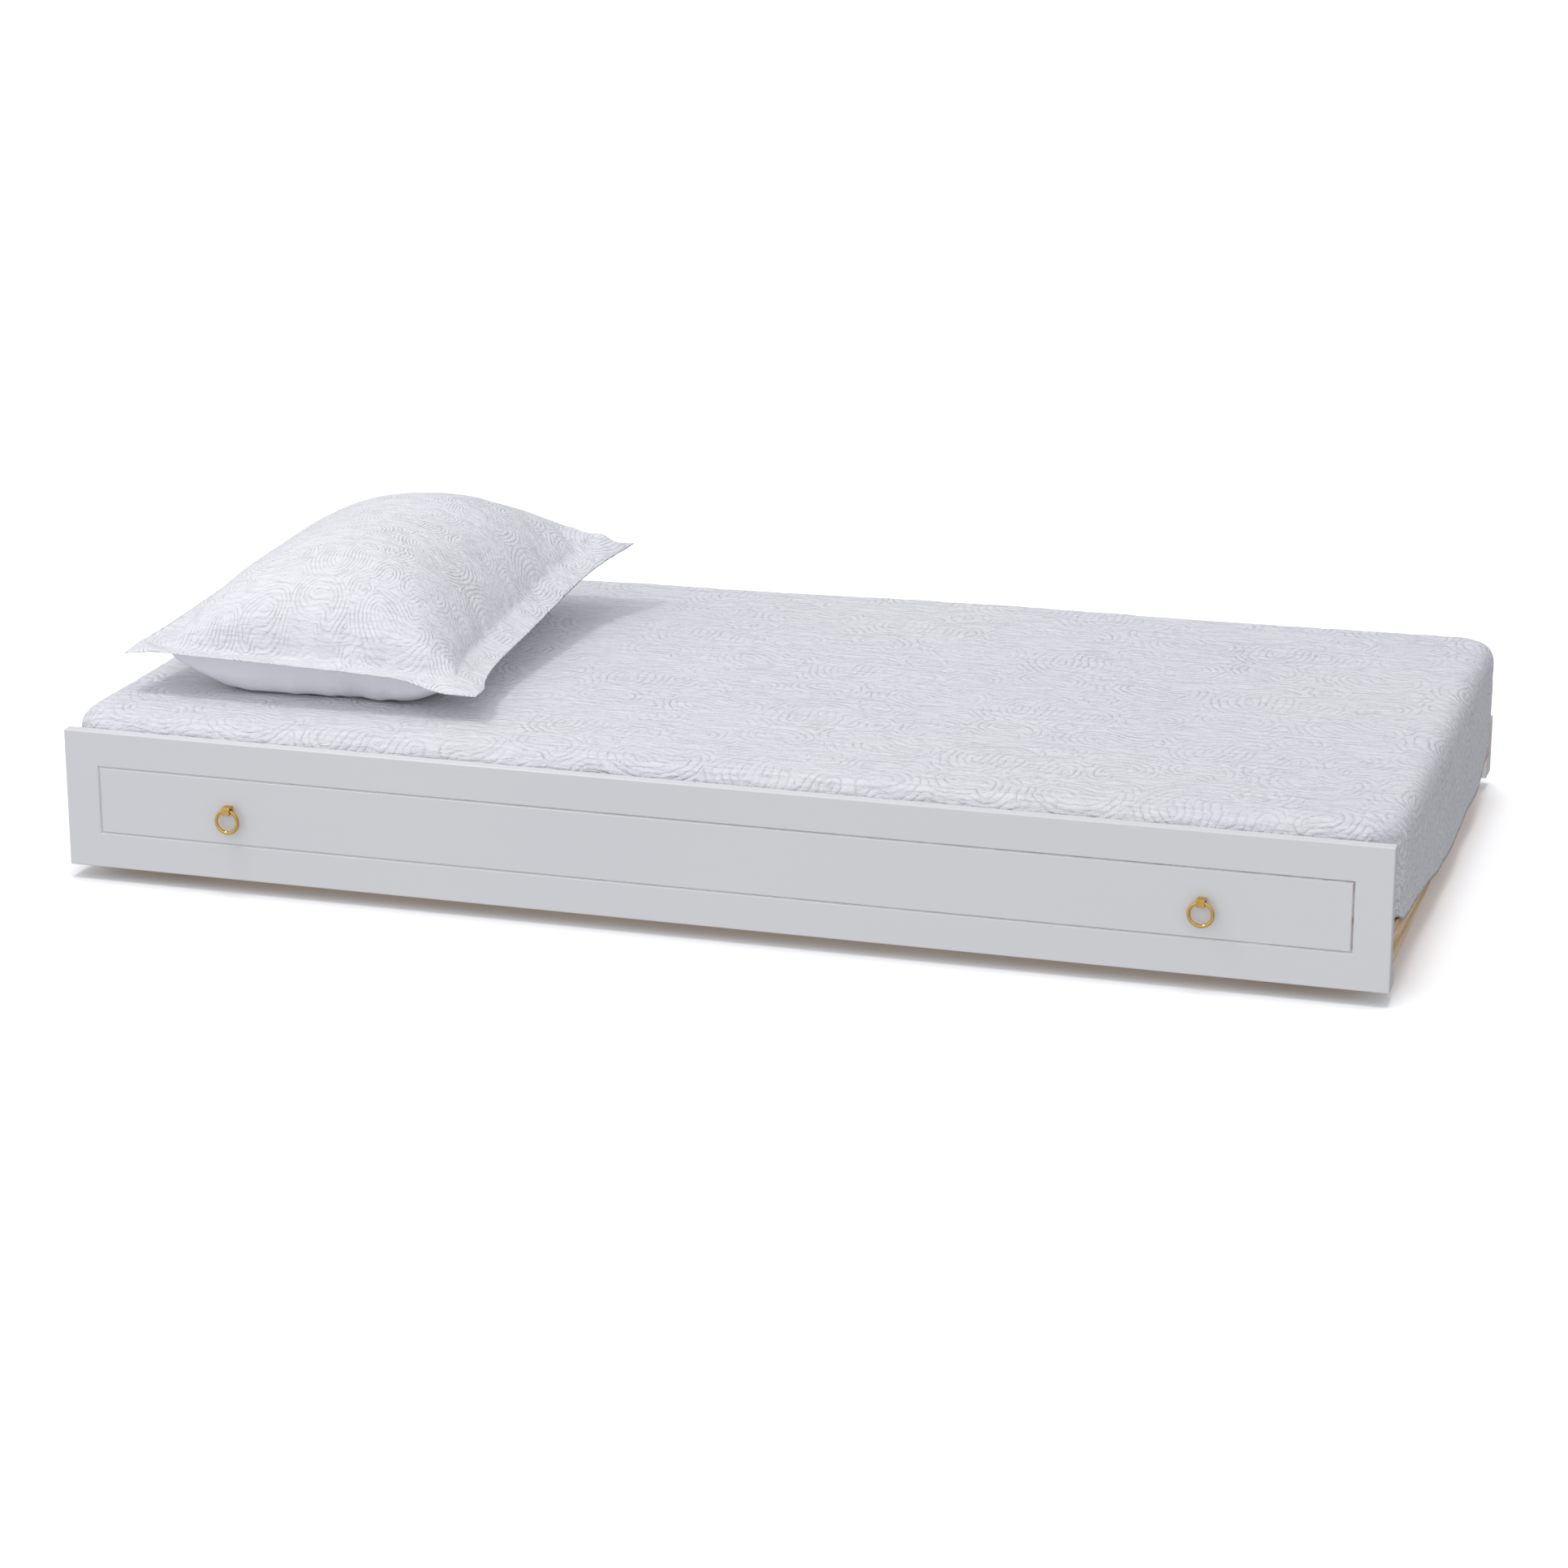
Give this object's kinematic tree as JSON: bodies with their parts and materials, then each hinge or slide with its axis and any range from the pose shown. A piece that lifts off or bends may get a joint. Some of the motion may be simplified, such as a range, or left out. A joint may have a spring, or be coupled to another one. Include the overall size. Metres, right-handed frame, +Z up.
{
  "type": "trundle bed",
  "caption": "Low twin trundle bed on casters: painted front panel with a routed groove and ring pulls, slatted wood frame, mattress under a quilted coverlet and a flanged pillow.",
  "frame": {"origin": "on the floor, under the centre of the bounding box", "axes": "+X along the bed from the head end (pillow) to the foot end, +Y from the front panel to the back rail, +Z up"},
  "size_m": [1.913, 1.055, 0.4385],
  "materials": {
    "painted_wood": "satin white paint over smooth board",
    "raw_pine": "raw sawn pine",
    "beech_dowel": "raw turned dowel",
    "brass": "polished",
    "wheel_nylon": "moulded nylon, semi-gloss",
    "zinc_steel": "zinc-plated",
    "ticking": "woven mattress ticking",
    "quilted_cotton": "white matelasse cotton",
    "pillow_cotton": "plain white percale"
  },
  "bodies": {
    "frame": {"back_cleat": "raw_pine", "back_rail": "painted_wood", "beam_screws": "zinc_steel", "block_screws": "zinc_steel", "board_dowels": "beech_dowel", "cam_locks": "zinc_steel", "cam_pins": "zinc_steel", "caster_axle_back_left": "zinc_steel", "caster_axle_back_right": "zinc_steel", "caster_axle_front_left": "zinc_steel", "caster_axle_front_right": "zinc_steel", "caster_board_left": "raw_pine", "caster_board_right": "raw_pine", "caster_bracket_back_left": "zinc_steel", "caster_bracket_back_right": "zinc_steel", "caster_bracket_front_left": "zinc_steel", "caster_bracket_front_right": "zinc_steel", "caster_screws": "zinc_steel", "centre_beam": "raw_pine", "cleat_screws": "zinc_steel", "corner_block_back_left": "painted_wood", "corner_block_back_right": "painted_wood", "corner_block_front_left": "painted_wood", "corner_block_front_right": "painted_wood", "corner_dowels": "beech_dowel", "end_rail_left": "raw_pine", "end_rail_right": "raw_pine", "front_cleat": "raw_pine", "front_panel": "painted_wood", "pull_post_left": "brass", "pull_post_right": "brass", "pull_screw_left": "zinc_steel", "pull_screw_right": "zinc_steel", "slat_01": "raw_pine", "slat_02": "raw_pine", "slat_03": "raw_pine", "slat_04": "raw_pine", "slat_05": "raw_pine", "slat_06": "raw_pine", "slat_07": "raw_pine", "slat_08": "raw_pine", "slat_09": "raw_pine", "slat_10": "raw_pine", "slat_11": "raw_pine", "slat_12": "raw_pine", "slat_13": "raw_pine", "slat_screws": "zinc_steel"},
    "wheel_front_left": {"caster_wheel_front_left": "wheel_nylon"},
    "wheel_front_right": {"caster_wheel_front_right": "wheel_nylon"},
    "wheel_back_left": {"caster_wheel_back_left": "wheel_nylon"},
    "wheel_back_right": {"caster_wheel_back_right": "wheel_nylon"},
    "ring_left": {"pull_ring_left": "brass"},
    "ring_right": {"pull_ring_right": "brass"},
    "mattress": {"mattress": "ticking", "coverlet": "quilted_cotton"},
    "pillow": {"pillow_insert": "pillow_cotton", "pillow_sham": "quilted_cotton"}
  },
  "joints": [
    {"name": "wheel_front_left_spin", "type": "hinge", "parent": "frame", "child": "wheel_front_left", "pos_m": [-0.8, -0.4285, 0.025], "axis": [1, 0, 0], "continuous": true},
    {"name": "wheel_front_right_spin", "type": "hinge", "parent": "frame", "child": "wheel_front_right", "pos_m": [0.8, -0.4285, 0.025], "axis": [1, 0, 0], "continuous": true},
    {"name": "wheel_back_left_spin", "type": "hinge", "parent": "frame", "child": "wheel_back_left", "pos_m": [-0.8, 0.4435, 0.025], "axis": [1, 0, 0], "continuous": true},
    {"name": "wheel_back_right_spin", "type": "hinge", "parent": "frame", "child": "wheel_back_right", "pos_m": [0.8, 0.4435, 0.025], "axis": [1, 0, 0], "continuous": true},
    {"name": "ring_left_swing", "type": "hinge", "parent": "frame", "child": "ring_left", "pos_m": [-0.698, -0.5218, 0.1253], "axis": [-1, 0, 0], "range_deg": [-9, 189]},
    {"name": "ring_right_swing", "type": "hinge", "parent": "frame", "child": "ring_right", "pos_m": [0.698, -0.5218, 0.1253], "axis": [-1, 0, 0], "range_deg": [-9, 189]},
    {"name": "mattress_lift", "type": "slide", "parent": "frame", "child": "mattress", "axis": [0, 0, 1], "range_m": [0, 0.3]},
    {"name": "pillow_lift", "type": "slide", "parent": "mattress", "child": "pillow", "axis": [0, 0, 1], "range_m": [0, 0.25]}
  ]
}
